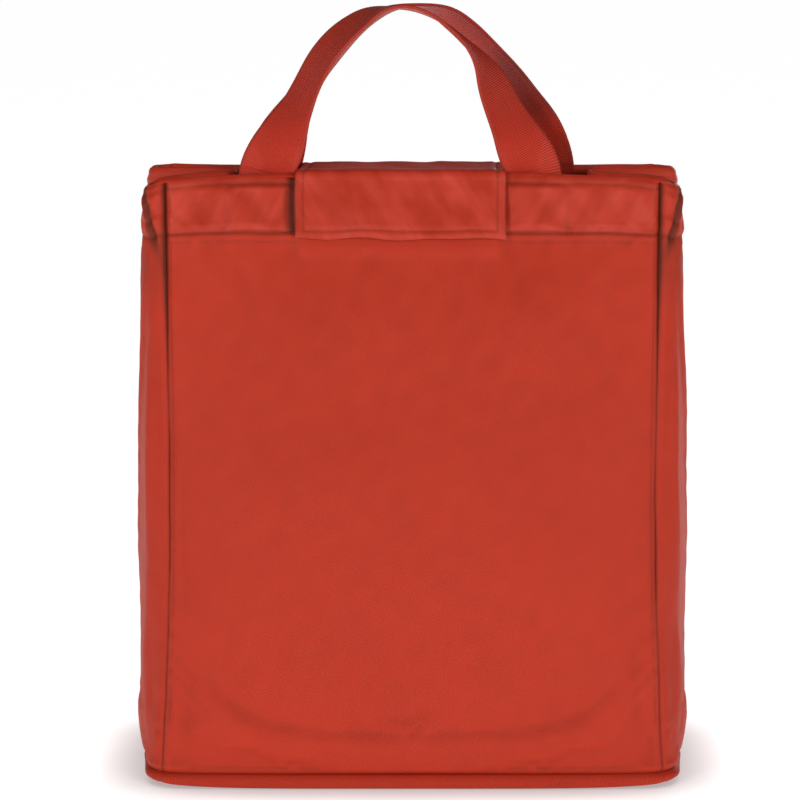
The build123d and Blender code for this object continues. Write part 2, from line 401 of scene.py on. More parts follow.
def nonwoven(colour):
    """Spun-bonded cloth: a lattice of small embossed diamonds, loose fibres, mottle, lower roughness and
    painted diagonal sheen streaks where it lies doubled over the hems, and painted shade in the creases."""

    def build(tree, shader):
        place, u, v = flat_place(tree)
        diagonals = [
            calc(tree, "COSINE", calc(tree, "MULTIPLY", calc(tree, way, u, v), 2.0 * math.pi / LATTICE))
            for way in ("ADD", "SUBTRACT")
        ]
        weave = calc(tree, "MULTIPLY_ADD", calc(tree, "ADD", *diagonals), 0.25, 0.5)
        dimple = calc(tree, "SMOOTH_MIN", weave, 0.55, 0.3)
        fibre = noise(tree, place, 2600.0, 3.0, 0.7)
        strand = noise(tree, stretched(tree, place, (300.0, 2400.0)), 1.0, 2.0, 0.6)
        slant = stretched(tree, place, (34 * MM, 10 * MM), "TEXTURE", math.radians(62))
        streak = noise(tree, slant, 1.0, 2.0, 0.55)
        gloss, soil = mark(tree, "gloss"), mark(tree, "soil")
        mottle = noise(tree, place, 55.0, 3.0, 0.55)
        cloud = noise(tree, place, 9.0, 2.0, 0.5)
        ground = tint(tree, weave, shaded(colour, 0.5), shaded(colour, 1.25), 0.05, 0.75)
        ground = mottled(tree, ground, 0.28, mottle, colour, 0.8, 1.16)
        ground = mottled(tree, ground, 0.25, cloud, colour, 0.86, 1.1)
        ground = mottled(tree, ground, 0.2, fibre, colour, 0.75, 1.25)
        # Painted sheen: streaks of lighter and darker colour where the mark is high; the same mark also
        # lowers the roughness
        painted_sheen_tone = tuple(c * 1.2 + 0.03 for c in colour)
        painted_sheen = tint(tree, streak, shaded(colour, 0.82), painted_sheen_tone, 0.36, 0.68)
        ground = blended(tree, calc(tree, "MULTIPLY", gloss, 0.55), ground, painted_sheen)
        # Painted shade in the creases, seams and hollows
        ground = blended(tree, calc(tree, "MULTIPLY", soil, 0.85, clamp=True), ground, CLOTH_PAINTED_SHADE)
        rough = calc(tree, "MULTIPLY_ADD", weave, 0.12, 0.5)
        rough = calc(tree, "MULTIPLY_ADD", mottle, 0.1, rough)
        shiny = calc(tree, "MULTIPLY", calc(tree, "MULTIPLY", streak, gloss), 0.3)
        rough = calc(tree, "SUBTRACT", rough, shiny)
        coloured(tree, shader, ground, rough)
        fuzz = calc(tree, "ADD", fibre, strand)
        raise_surface(tree, shader, [(dimple, 0.2 * MM, 0.7), (fuzz, 0.04 * MM, 0.6)])

    return build


def ribbed(colour):
    """Ribbed webbing: its cross ribs are geometry; the yarns over them are fine bumps and specks."""

    def build(tree, shader):
        place, u, v = flat_place(tree)
        rib, yarn, shift = (
            calc(tree, "SINE", calc(tree, "MULTIPLY", along, turn))
            for along, turn in ((v, 2.0 * math.pi / RIB), (u, 2.0 * math.pi / YARN), (v, math.pi / RIB))
        )
        twill = calc(tree, "MULTIPLY", yarn, shift)
        speck = calc(tree, "MULTIPLY_ADD", calc(tree, "ADD", rib, twill), 0.25, 0.5)
        mottle = noise(tree, place, 90.0, 3.0, 0.6)
        fibre = noise(tree, place, 4200.0, 2.0, 0.6)
        crown = tuple(c * 1.35 + 0.02 for c in colour)
        ground = tint(tree, speck, shaded(colour, 0.25), crown, 0.1, 0.85)
        ground = mottled(tree, ground, 0.4, mottle, colour, 0.85, 1.1)
        ground = mottled(tree, ground, 0.25, fibre, colour, 0.75, 1.2)
        # Painted shade on the strap's selvages and on its inner face under the other strap
        ground = blended(tree, mark(tree, "soil"), ground, WEBBING_PAINTED_SHADE)
        coloured(tree, shader, ground, calc(tree, "MULTIPLY_ADD", speck, -0.18, 0.66))
        raise_surface(tree, shader, [(speck, 0.2 * MM, 0.6), (fibre, 0.03 * MM, 0.4)])

    return build


def foil(tree, shader):
    """Silver foil, crinkled over foam."""
    place, _, _ = flat_place(tree)
    cells = node(tree, "ShaderNodeTexVoronoi", [("Vector", place)], Scale=160.0, feature="DISTANCE_TO_EDGE")
    crease = calc(tree, "MULTIPLY", cells.outputs["Distance"], 2.2, clamp=True)
    ripple = noise(tree, place, 95.0, 4.0, 0.6)
    silver = tint(tree, ripple, (0.5, 0.51, 0.53), (0.78, 0.79, 0.8))
    coloured(tree, shader, silver, calc(tree, "MULTIPLY_ADD", ripple, 0.25, 0.22))
    raise_surface(tree, shader, [(crease, 0.6 * MM, 0.6), (ripple, 1.0 * MM, 0.7)])


def grainy(scale, detail, rough, low, high, height, strength):
    """A red surface with one fine grain, in its colour from low to high and in its bumps."""

    def build(tree, shader):
        grain = noise(tree, flat_place(tree)[0], scale, detail, rough)
        coloured(tree, shader, tint(tree, grain, shaded(RED, low), shaded(RED, high)))
        raise_surface(tree, shader, [(grain, height, strength)])

    return build


SOFT = dict(Specular_IOR_Level=0.26, Sheen_Weight=0.03, Sheen_Roughness=0.4, Sheen_Tint=(1.0, 0.5, 0.4, 1.0))
TAPE_RED = shaded(RED, 0.8)
twist = grainy(5200.0, 2.0, 0.6, 0.5, 1.0, 0.05 * MM, 0.5)
tangle = grainy(1500.0, 4.0, 0.75, 0.45, 1.15, 0.5 * MM, 0.8)
hooks = grainy(2200.0, 2.0, 0.5, 0.6, 1.0, 0.1 * MM, 0.5)
cloth = material("red_nonwoven", RED, 0.6, nonwoven(RED), **SOFT)
inner_cloth = material("lining_nonwoven", RED, 0.62, nonwoven(shaded(RED, 0.94)), **SOFT)
webbing = material("ribbed_webbing", WEBBING_RED, 0.55, ribbed(WEBBING_RED), **SOFT)
foil_foam = material("foil_faced_foam", (0.7, 0.7, 0.72), 0.3, foil, Metallic=0.9)
thread = material("sewing_thread", RED, 0.6, twist, **SOFT)
loop_tape = material("loop_tape", TAPE_RED, 0.9, tangle, Sheen_Weight=0.3)
hook_tape = material("hook_tape", TAPE_RED, 0.4, hooks)


# ---------------------------------------------------------------- the bag's shape, read from the frame
def outline_points(name):
    """The vertices of a CAD wall."""
    return np.array([v.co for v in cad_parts[name].data.vertices])


def read_shape():
    """Five smooth functions of height: seam x, seam y, middle y, side x and the depth of the side's fold."""
    wall, side = outline_points("front_panel"), outline_points("left_gusset")
    table = []
    for z in np.unique(wall[:, 2].round(5)):
        row = wall[abs(wall[:, 2] - z) < 1e-5]
        middle = row[abs(row[:, 0]) < 1e-4]
        flank = side[abs(side[:, 2] - z) < 1e-5]
        if len(middle) == 0 or len(flank) == 0:
            continue
        ends = row[abs(row[:, 0]) > abs(row[:, 0]).max() - 1e-4]
        valley = flank[abs(flank[:, 1]) < abs(flank[:, 1]).min() + 1e-4]
        out = abs(flank[:, 0]).max()
        corner = (abs(ends[:, 0]).max() + CORNER_GAP, -ends[:, 1].min())
        table.append((z, *corner, -middle[:, 1].min(), out, out - abs(valley[:, 0]).max()))
    table = np.array(table)
    table[-1, 0] = RIM
    return [hermite(table[:, 0], table[:, k]) for k in range(1, 6)]


CORNER_GAP = 0.7 * MM  # the CAD wall ends this far before the seam
seam_x, seam_y, middle_y, side_x, fold_depth = read_shape()
FULL_FOLD = float(fold_depth(RIM))


def swell(z):
    """How much the filled cloth stands out at the sides beyond the stiff shape."""
    return 0.5 * MM + 2.5 * MM * ridge(z - 24 * MM, 42 * MM)


def wall_face(u, z):
    """The front wall's plain outer face; u runs from seam to seam, -1 to 1."""
    x = seam_x(z) * u
    y = -(seam_y(z) + (middle_y(z) - seam_y(z)) * (1 - u**4))
    return np.stack([x, y, z + 0 * u], axis=-1)


def side_outline(z, count):
    """The left side's plain outline at one height, evenly spaced from the front seam to the back one, and
    its length."""
    sx, sy, out, fold = (float(f(z)) for f in (seam_x, seam_y, side_x, fold_depth))
    out, fold = out + float(swell(z)), fold + float(swell(z))
    tuck = max(fold, 0.0) / FULL_FOLD
    front = [
        (-sx, -sy),
        (-(sx + 0.65 * (out - sx)), -sy * (0.82 + 0.1 * tuck)),
        (-(out - 3 * MM + 2 * MM * tuck), -sy * (0.5 + 0.2 * tuck)),
        (-(out - 0.8 * MM - 2.2 * MM * tuck), -sy * (0.22 + 0.22 * tuck)),
        (-(out - fold), -(sy * 0.08 * (1 - tuck) + 1.5 * MM * tuck)),
    ]
    line = np.array(front + [(x, -y) for x, y in reversed(front)])
    run = lengths_along(line)
    fine = np.linspace(0.0, run[-1], 400)
    dense = sampled(fine, run, line)
    reach = 3.2 * MM / (run[-1] / 399)
    kernel = np.exp(-0.5 * (np.arange(-30, 31) / reach) ** 2)
    kernel /= kernel.sum()
    padded = np.concatenate([2 * dense[0] - dense[30:0:-1], dense, 2 * dense[-1] - dense[-2:-32:-1]])
    soft = np.stack([np.convolve(padded[:, k], kernel, "valid") for k in range(2)], axis=1)
    grow = np.cumsum(np.linalg.norm(np.diff(soft, axis=0, prepend=soft[:1]), axis=1))
    return sampled(np.linspace(0.0, grow[-1], count), grow, soft), grow[-1]


def side_face(shares, heights):
    """The left side's plain outer face at shares of its width, 0 at the front seam, and its widths."""
    rows, widths = [], []
    for z in heights:
        outline, width = side_outline(z, OUTLINE_POINTS)
        places = np.linspace(0.0, 1.0, OUTLINE_POINTS)
        rows.append(np.column_stack([sampled(shares, places, outline), z + 0 * shares]))
        widths.append(width)
    return np.array(rows), np.array(widths)


OUTLINE_POINTS = 241
SEAM_REACH = 5.5 * MM  # how far from a seam the cloth is drawn in


def seam_pull(heights):
    """How far the cloth is drawn in at the front left seam, half way between the wall's inward direction and
    the side's: a vector for each height."""
    outward = np.zeros((len(heights), 3))
    for i, z in enumerate(heights):
        outline, _ = side_outline(z, OUTLINE_POINTS)
        along = unit(outline[3] - outline[0])
        outward[i, :2] = unit(np.array([-abs(along[1]), -abs(along[0]) - 1.0]))
    depth = 2.2 * MM + 1.9 * MM * ease((heights - 0.2) / 0.08)
    return -depth[:, None] * outward


def seam_draw(plain, heights, edge, axis, far):
    """The pull at both seams of a face, over its points; far marks the half where axis is mirrored."""
    pull = seam_pull(heights)[:, None, :] * np.ones_like(plain)
    pull[..., axis] *= np.where(far, -1.0, 1.0)
    return pull * ((1 - np.clip(edge / SEAM_REACH, 0, 1)) ** 2)[..., None]


def settle(points, signs):
    """Points of the front wall or left side, mirrored to their own wall. The rim sags a little towards the
    side seams, more in the front half, and waves."""
    points = mirrored(points, signs)
    x, y, z = points[..., 0], points[..., 1], points[..., 2]
    high = ease((z - 0.27) / (RIM - 0.27))
    front = ease(0.5 - y / (40 * MM))
    corner = (abs(x) / 0.134) ** 6
    dip = (1.0 + 1.8 * front) * MM * np.minimum(corner, 1.35)
    dip = dip + 2.0 * MM * front * ease((abs(x) - 0.135) / (9 * MM))
    wave = 0.35 * MM * waves(x, 2.0 * y, 60 * MM, 5)
    points[..., 2] = z - high * dip + high * wave
    return points


# ---------------------------------------------------------------- folds and puckers
def fold_line(a, b, start, end, width, depth):
    """A soft crease from start to end on the flat cloth, fading at both ends; negative depths sink in."""
    start, end = np.array(start) * MM, np.array(end) * MM
    along = end - start
    length = np.linalg.norm(along)
    along = along / length
    t = ((a - start[0]) * along[0] + (b - start[1]) * along[1]) / length
    across = (a - start[0]) * -along[1] + (b - start[1]) * along[0]
    return depth * MM * ridge(across, width * MM) * ease(t / 0.35) * ease((1 - t) / 0.35)


def hem_relief(a, z, seed):
    """Puff of the doubled cloth over the hem, its stitch groove, its puckers and the tuck under the roll."""
    puff = 0.8 * MM * ease((z - HEM_LINE) / (5 * MM)) * ease((ROLL_FOOT - z) / (4 * MM))
    groove = -0.5 * MM * ridge(z - HEM_LINE, 1.2 * MM)
    near = ridge(z - HEM_LINE, 8 * MM)
    pucker = 0.4 * MM * near * waves(a, z, 11 * MM, seed, stretch=3.0)
    tall = 0.45 * MM * band(z, 0.302, 0.325, 6 * MM) * waves(a + 0.7 * z, z, 20 * MM, seed + 1, stretch=4.0)
    tuck = -(0.35 + 0.25 * waves(a, z, 70 * MM, seed + 5)) * MM * ridge(z - ROLL_FOOT, 2.4 * MM)
    return puff + groove + pucker + tall + tuck


FRONT_FOLDS = [
    ((-121, 60), (-124, 190), 3.0, -0.5),
    ((-124, 14), (-117, 84), 4.0, -0.9),
    ((-130, 12), (-127, 70), 2.2, 0.6),
    ((-128, 150), (-120, 235), 3.0, 0.45),
    ((123, 20), (119, 95), 4.0, -0.7),
    ((128, 60), (124, 180), 2.6, 0.5),
    ((-100, 298), (-86, 262), 5.0, -0.5),
    ((-66, 299), (-60, 268), 5.0, -0.4),
    ((52, 299), (60, 262), 5.0, -0.45),
    ((104, 300), (92, 258), 6.0, 0.45),
    ((-118, 296), (-104, 270), 4.0, 0.4),
]
BACK_FOLDS = [
    ((-122, 18), (-116, 92), 4.0, -0.8),
    ((124, 22), (118, 110), 4.0, -0.8),
    ((-98, 298), (-80, 250), 6.0, -0.6),
    ((92, 299), (78, 246), 6.0, -0.6),
    ((-126, 140), (-119, 240), 3.0, 0.5),
    ((0, 296), (6, 250), 9.0, -0.5),
]


def handle_feet(name):
    """Middle x of the two sewn ends of a handle."""
    low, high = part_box(f"{name}_handle_ends")
    return low.x + STRAP_WIDTH / 2, high.x - STRAP_WIDTH / 2


STRAP_WIDTH = 30 * MM


def hem_prints(x, z, feet):
    """The sewn ends of the webbing show through the hem as raised oblongs, drawn outward below the rim."""
    relief = 0.0
    for foot in feet:
        middle = foot + math.copysign(4.5 * MM if foot < 0 else 1.0 * MM, foot) * ease((RIM - z) / (10 * MM))
        relief = relief + band(x, middle - STRAP_WIDTH / 2, middle + STRAP_WIDTH / 2, 2.4 * MM)
    return 0.95 * MM * relief * ease((z - HEM_LINE) / (3 * MM)) * ease((ROLL_FOOT - 1 * MM - z) / (3 * MM))


FLAP_LOW, FLAP_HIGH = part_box("flap_tip_cover")


def wall_relief(x, z, feet, folds, seed, flapped):
    """How far the front or back cloth stands proud of its plain face."""
    relief = 0.6 * MM * waves(x, z, 75 * MM, seed) + 0.16 * MM * waves(x, z, 22 * MM, seed + 1)
    relief = relief * ease((z - SEAM_Z) / (20 * MM)) + hem_relief(x, z, seed + 2)
    relief = relief + hem_prints(x, z, feet) + slack_at("wall", (x if flapped else -x) / seam_x(z), z)
    for fold in folds:
        relief = relief + fold_line(x, z, *fold)
    if flapped:
        relief = relief - 1.6 * MM * ridge(x - FLAP_LOW.x + 2 * MM, 3.5 * MM) * ease((z - 0.299) / (6 * MM))
        under = band(x, FLAP_LOW.x + 3 * MM, FLAP_HIGH.x - 3 * MM, 6 * MM) * ease((z - 0.285) / (8 * MM))
        relief = relief * (1 - under)
    return relief


def base_pull(z, distance_x):
    """The wall is drawn in at the bottom seam, and more in the corners."""
    e = np.clip((z - SEAM_Z) / (4 * MM), 0.0, 1.0)
    return (1.1 * MM + 1.2 * MM * ridge(distance_x, 6 * MM)) * (1 - e) ** 2


SIM_FRAMES = 22
SIM_SLACK = 0.014  # how much longer the cloth is than the stiff wall behind it
SIM_GAP = 3.4 * MM


def laid_cloth(name, grid, heights):
    """A cloth over a wall's plain face, held at its four seams and along the hem's stitches."""
    rows, cols = grid.shape[:2]
    index = np.arange(rows * cols).reshape(rows, cols)
    faces = sum((quads(index[r], index[r + 1]) for r in range(rows - 1)), [])
    mesh = bpy.data.meshes.new(name)
    mesh.from_pydata(grid.reshape(-1, 3).tolist(), [], faces)
    made = bpy.data.objects.new(name, mesh)
    bpy.context.scene.collection.objects.link(made)
    hem_row = int(np.argmin(abs(heights - HEM_LINE)))
    held = np.concatenate([index[0], index[-1], index[hem_row], index[:, 0], index[:, -1]])
    made.vertex_groups.new(name="held").add(np.unique(held).tolist(), 1.0, "REPLACE")
    cloth_sim = made.modifiers.new("cloth", "CLOTH")
    settings = cloth_sim.settings
    settings.quality = 6
    settings.mass = 0.12
    settings.tension_stiffness = settings.compression_stiffness = 12.0
    settings.shear_stiffness = 4.0
    settings.bending_stiffness = 0.35
    settings.air_damping = 2.0
    settings.vertex_group_mass = "held"
    settings.pin_stiffness = 5.0
    settings.shrink_min = settings.shrink_max = -SIM_SLACK
    settings.effector_weights.gravity = 0.2
    cloth_sim.collision_settings.use_collision = False
    cloth_sim.point_cache.frame_end = SIM_FRAMES
    return made


def simulate_slack():
    """For the front wall and the left side, how far slack cloth settles off the plain face."""
    heights = steps((SEAM_Z, ROLL_FOOT, SIM_GAP))
    u = np.linspace(-1.0, 1.0, 81)
    shares = np.linspace(0.0, 1.0, 45)
    plain = {
        "wall": (u, wall_face(*np.meshgrid(u, heights))),
        "side": (shares, side_face(shares, heights)[0]),
    }
    cloths = {key: laid_cloth(f"sim_{key}", grid, heights) for key, (_, grid) in plain.items()}
    for frame_number in range(1, SIM_FRAMES + 1):
        bpy.context.scene.frame_set(frame_number)
    graph = bpy.context.evaluated_depsgraph_get()
    fields = {}
    for key, laid in cloths.items():
        across, grid = plain[key]
        settled = np.zeros(grid.size)
        laid.evaluated_get(graph).data.vertices.foreach_get("co", settled)
        normal = facing(grid, grid * np.array([1, 1, 0]))
        off = np.sum((settled.reshape(grid.shape) - grid) * normal, axis=-1) / MM
        most = np.where(off > 0, 1.7, 0.9)  # it stands out, or sinks in, no further than this
        fields[key] = (across, heights, most * np.tanh(off / most))
        mesh = laid.data
        bpy.data.objects.remove(laid)
        bpy.data.meshes.remove(mesh)
    bpy.context.scene.frame_set(1)
    return fields


def slack_at(key, place, z):
    """The simulated cloth's distance off the plain face, between the points of its grid."""
    if key not in SLACK:
        return 0.0 * place
    across, heights, off = SLACK[key]
    i = np.clip(np.searchsorted(across, place) - 1, 0, len(across) - 2)
    j = np.clip(np.searchsorted(heights, z) - 1, 0, len(heights) - 2)
    s = np.clip((place - across[i]) / (across[i + 1] - across[i]), 0, 1)
    t = np.clip((z - heights[j]) / (heights[j + 1] - heights[j]), 0, 1)
    low = off[j, i] * (1 - s) + off[j, i + 1] * s
    high = off[j + 1, i] * (1 - s) + off[j + 1, i + 1] * s
    return MM * (low * (1 - t) + high * t)


SLACK = simulate_slack()
WALL_U = steps((-1.0, -0.955, 0.0035), (-0.955, 0.955, 0.0118), (0.955, 1.0, 0.0035))
CLOTH_Z = steps(
    (SEAM_Z, SEAM_Z + 5 * MM, 0.6 * MM),
    (SEAM_Z + 5 * MM, 0.292, 1.9 * MM),
    (0.292, RIM, 0.6 * MM),
)
CLOTH_Z = CLOTH_Z[CLOTH_Z <= RIM - 0.2 * MM]
FRONTWARDS, LEFTWARDS = (0, -1, 0), (-1, 0, 0)


def rim_curl(z):
    """How far the outer cloth has turned in over the rim."""
    return 1.5 * MM * np.clip((z - 326.8 * MM) / (3.2 * MM), 0.0, 1.0) ** 2


def hem_gloss(z):
    """The doubled cloth of the hem is less rough and carries painted sheen streaks."""
    return 0.05 + 0.75 * ease((z - HEM_LINE + 3 * MM) / (6 * MM))


def crease_soil(z, edge):
    """Painted shade in the side seams, along the stitches, below the hem, under the rolled rim and along the
    bottom seam.
    """
    seam = ridge(edge, 0.9 * MM + 0.7 * MM * ease((z - 0.22) / 0.06)) * (0.6 + 0.4 * ease((z - 0.2) / 0.06))
    line = 0.15 * ridge(z - HEM_LINE, 1.0 * MM) + 0.16 * ridge(z - HEM_LINE + 1 * MM, 4 * MM)
    roll = 0.12 * ridge(z - ROLL_FOOT, 2.6 * MM)
    bottom = 0.35 * ridge(z - SEAM_Z, 1.6 * MM)
    return np.clip(seam + line + roll + bottom, 0, 1)


def wall_points(u, heights, feet, folds, seed, flapped):
    """The front wall's detailed outer face, its normals, and the distances across it and from its seams."""
    uu, zz = np.meshgrid(u, heights)
    plain = wall_face(uu, zz)
    normal = facing(plain, FRONTWARDS)
    edge = (1 - abs(uu)) * seam_x(zz)
    points = plain + normal * wall_relief(plain[..., 0], zz, feet, folds, seed, flapped)[..., None]
    points += seam_draw(plain, heights, edge, 0, uu > 0)
    points -= normal * (base_pull(zz, edge) + rim_curl(zz))[..., None]
    return points, normal, points[..., 0], edge


def wall_row(u, z):
    """One row of the plain front wall drawn in at its seams, and its normals; upright above the rim."""
    normal = facing(wall_face(*np.meshgrid(u, z + 0.4 * MM * np.array([-1, 0, 1]))), FRONTWARDS)[1]
    plain = wall_face(u, min(z, RIM))
    edge = (1 - abs(u)) * seam_x(z)
    return plain + seam_draw(plain[None], np.array([z]), edge, 0, u > 0)[0], normal


def hollows(relief, across, up):
    """How hollow a relief is at each point, as painted shade for its creases."""
    bend = np.gradient(np.gradient(relief, across, axis=1), across, axis=1)
    bend = bend + np.gradient(np.gradient(relief, up, axis=0), up, axis=0)
    return 0.4 * np.clip(bend * 3 * MM, -0.15, 0.8)


def foam_front(z):
    """Depth of the foam's outer face; the hem's stitches and the tuck under the rim press it in."""
    tuck = 1.0 * MM * ease((z - ROLL_FOOT + 8 * MM) / (6 * MM))
    return FOAM_NEAR + 0.9 * MM * ridge(z - HEM_LINE, 6 * MM) + tuck


def make_panel(name, node_name, signs, points_at, soil_at, gloss, shares):
    """The outer cloth of a wall."""
    outer, normal, across, edge = points_at(shares, CLOTH_Z)
    zz = CLOTH_Z[:, None] + 0 * across
    outer, inner = (settle(grid, signs) for grid in (outer, outer - normal * CLOTH))
    uv, soil, painted_sheen = np.stack([across, zz], axis=-1), soil_at(across, zz, edge), gloss * hem_gloss(zz)
    panel = sheet_solid(f"{name}_cloth", outer, inner, uv, cloth, soil=soil, gloss=painted_sheen)
    attach(panel, "bag", "red_cloth", node_name)


def make_foam(name, signs, points_at, shares, seed):
    """The foil-faced foam behind a wall's cloth."""
    foam_z = steps((SEAM_Z + 0.6 * MM, ROLL_FOOT - 1 * MM, 4 * MM))
    plain, normal, across, _ = points_at(shares, foam_z)
    zz = foam_z[:, None] + 0 * across
    crinkle = 0.35 * MM * waves(across, zz, 14 * MM, seed)
    depths = (foam_front(zz), FOAM_FAR + crinkle)
    near, far = (settle(plain - normal * depth[..., None], signs) for depth in depths)
    foam = sheet_solid(f"{name}_foam", near, far, np.stack([across, zz], axis=-1), foil_foam)
    attach(foam, "bag", "foil_foam", f"{name}_insulation")


# The hem's section: (depth behind the outer face, height) from the outer tuck, over the rim and down inside
ROLL = [(1.9, 329.0), (2.1, 329.7), (2.7, 330.0), (3.5, 329.8), (4.2, 329.0)]
ROLL += [(4.7, 327.2), (4.6, 325.0), (4.25, 320.0), (4.1, 310.0), (4.1, 302.0), (4.15, 298.5)]
ROLL_POINTS_PER_MM = 1.4
ROLL_TOP = 2  # the section's point at its top, where its thickness is laid towards the outside
HEM_CLOTH = 0.7 * MM


def make_hem(name, signs, row_at, away, across, edge, seed):
    """The cloth over the rim and down inside: its section is carried along the rim. row_at(z) gives a row of
    the outer face and its normals, and away is roughly where that face points."""
    line = np.array(ROLL) * MM
    run = lengths_along(line)
    fine = np.linspace(0, run[-1], round(run[-1] / MM * ROLL_POINTS_PER_MM))
    pinch = 0.45 + 0.55 * ease(edge / (7 * MM))
    outer = []
    for depth, z in zip(*(hermite(run, column)(fine) for column in line.T)):
        row, normal = row_at(z)
        ripple = 0.16 * MM * waves(across, 0 * across + z, 16 * MM, seed) * ease((z - 0.3) / (20 * MM))
        outer.append(row - normal * (depth * pinch + ripple)[:, None])
    outer = np.array(outer)
    normals = normals_of(outer)
    if np.sum(normals[ROLL_TOP] * np.array(away)) < 0:
        normals = -normals
    place, down = np.meshgrid(across, fine)
    outer, inner = (settle(grid, signs) for grid in (outer, outer - normals * HEM_CLOTH))
    # Painted shade down the hem's inner face, inside the mouth
    inside = 0.5 * ease((down - 8 * MM) / (8 * MM))
    uv = np.stack([place, down], axis=-1)
    hem = sheet_solid(f"{name}_rolled_hem", outer, inner, uv, cloth, soil=inside, gloss=0.4)
    attach(hem, "bag", "red_cloth", f"{name}_hem")


def make_wall(name, signs, feet, folds, seed, flapped):
    """Outer cloth, foam and hem of the front or back; returns what its hem stitches need."""

    def points_at(u, heights):
        return wall_points(u, heights, feet, folds, seed, flapped)

    def soil_at(across, z, edge):
        relief = wall_relief(across, z, feet, folds, seed, flapped)
        soil = np.clip(crease_soil(z, edge) + hollows(relief, across[0], CLOTH_Z), 0, 1)
        if flapped:
            # Painted shadow in the gutter along the flap's left edge
            gutter = ridge(across - FLAP_LOW.x + 1.5 * MM, 3.2 * MM) * ease((z - 0.298) / (3 * MM))
            soil = np.clip(soil + 0.75 * gutter, 0, 1)
        return soil

    low_width, rim_width = (2 * float(seam_x(z)) for z in (0.1, RIM))
    make_panel(name, f"{name}_panel", signs, points_at, soil_at, 1.0, WALL_U)
    make_foam(name, signs, points_at, steps((-0.962, 0.962, 0.024)), seed + 7)
    u = steps((-0.999, -0.955, 0.0044), (-0.955, 0.955, 0.0118), (0.955, 0.999, 0.0044))
    across, edge = u * rim_width / 2, (1 - abs(u)) * rim_width / 2
    make_hem(name, signs, lambda z: wall_row(u, z), FRONTWARDS, across, edge, seed + 11)
    return signs, points_at, WALL_U


def attach(piece, body, slot_name, *nodes):
    """Rides the piece on a body, in place of the CAD nodes; slot_name is not used."""
    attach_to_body(piece, body)
    if nodes:
        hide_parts(*nodes)


# ---------------------------------------------------------------- sides
SIDE_S = steps((0.0, 0.035, 0.004), (0.035, 0.965, 0.0105), (0.965, 1.0, 0.004))


def side_relief(a, z, seed):
    """How far the side cloth stands proud; a is the distance from the front seam along the cloth."""
    relief = 0.3 * MM * waves(a, z, 80 * MM, seed) + 0.1 * MM * waves(a, z, 17 * MM, seed + 1)
    relief = relief * ease((z - SEAM_Z) / (20 * MM)) + 0.6 * hem_relief(a, z, seed + 2)
    folds = [
        ((3.5, 288), (13.5, 331), 1.6, -2.3),
        ((8, 300), (17.5, 333), 3.0, 0.6),
        ((10, 20), (16, 110), 4.0, -0.8),
        ((20, 120), (12, 230), 4.5, 0.7),
        ((6, 180), (14, 250), 3.0, -0.6),
        ((28, 30), (22, 90), 5.0, 0.8),
    ]
    for fold in folds:
        relief = relief + fold_line(a, z, *fold)
    return relief


def side_points(shares, heights, seed):
    """The left side's detailed outer face, its normals, and the distances across it and from its seams."""
    plain, widths = side_face(shares, heights)
    normal = facing(plain, LEFTWARDS)
    ss, zz = np.meshgrid(shares, heights)
    across = ss * widths[:, None]
    edge = np.minimum(across, widths[:, None] - across)
    slack = slack_at("side", ss if seed % 2 else 1 - ss, zz)
    relief = side_relief(np.where(ss < 0.5, across, edge), zz, seed)
    points = plain + normal * (relief + slack)[..., None]
    points += seam_draw(plain, heights, edge, 1, ss > 0.5)
    points -= normal * (base_pull(zz, edge) + rim_curl(zz))[..., None]
    return points, normal, across, edge


def side_row(shares, z):
    """One row of the plain left side drawn in at its seams, and its normals."""
    below = 2 if z >= RIM - 1 * MM else 1  # the row's place among three; it has nothing above it at the rim
    plain, widths = side_face(shares, [z + (k - below) * MM for k in range(3)])
    edge = np.minimum(shares, 1 - shares) * widths[1]
    row = plain[below]
    pull = seam_draw(row[None], np.array([z]), edge, 1, shares > 0.5)[0]
    return row + pull, facing(plain, LEFTWARDS)[1]


def side_soil(across, z, edge):
    """Painted shade on a side: its creases, a band below the hem, and the fold that runs down from each
    mouth corner.
    """
    soil = crease_soil(z, edge) + 0.3 * ridge(z - 0.282, 16 * MM)
    fold = 0.95 * ridge(across - (4.5 * MM + (z - 0.29) * 0.25), 2.4 * MM) * ease((z - 0.28) / (25 * MM))
    return np.clip(soil + fold + fold[:, ::-1], 0, 1)


def make_side(name, signs, seed):
    """Outer cloth, foam and hem of the left or right side; returns what its hem stitches need."""

    def points_at(shares, heights):
        return side_points(shares, heights, seed)

    low_width = float(side_face(SIDE_S, CLOTH_Z[60:61])[1][0])
    make_panel(name, f"{name}_gusset", signs, points_at, side_soil, 0.5, SIDE_S)
    make_foam(name, signs, points_at, steps((0.045, 0.955, 0.014)), seed + 7)
    shares = steps((0.002, 0.05, 0.006), (0.05, 0.95, 0.0095), (0.95, 0.998, 0.006))
    width = float(side_face(shares, [RIM - 1 * MM])[1][0])
    edge = np.minimum(shares, 1 - shares) * width
    make_hem(name, signs, lambda z: side_row(shares, z), LEFTWARDS, shares * width, edge, seed + 11)
    return signs, points_at, SIDE_S


# ---------------------------------------------------------------- base
def base_ring():
    """The bottom seam as a closed ring of points, anticlockwise from the front left corner from above."""
    heights = np.array([SEAM_Z, SEAM_Z + 1 * MM])
    front = wall_points(WALL_U[::3], heights, (0.0,), [], 1, True)[0][0]
    side = side_points(steps((0.0, 1.0, 0.03)), heights, 2)[0][0]
    right = mirrored(side[1:-1], (-1, 1, 1))
    return np.concatenate([front, right, mirrored(front[::-1], (1, -1, 1)), side[-2:0:-1]])


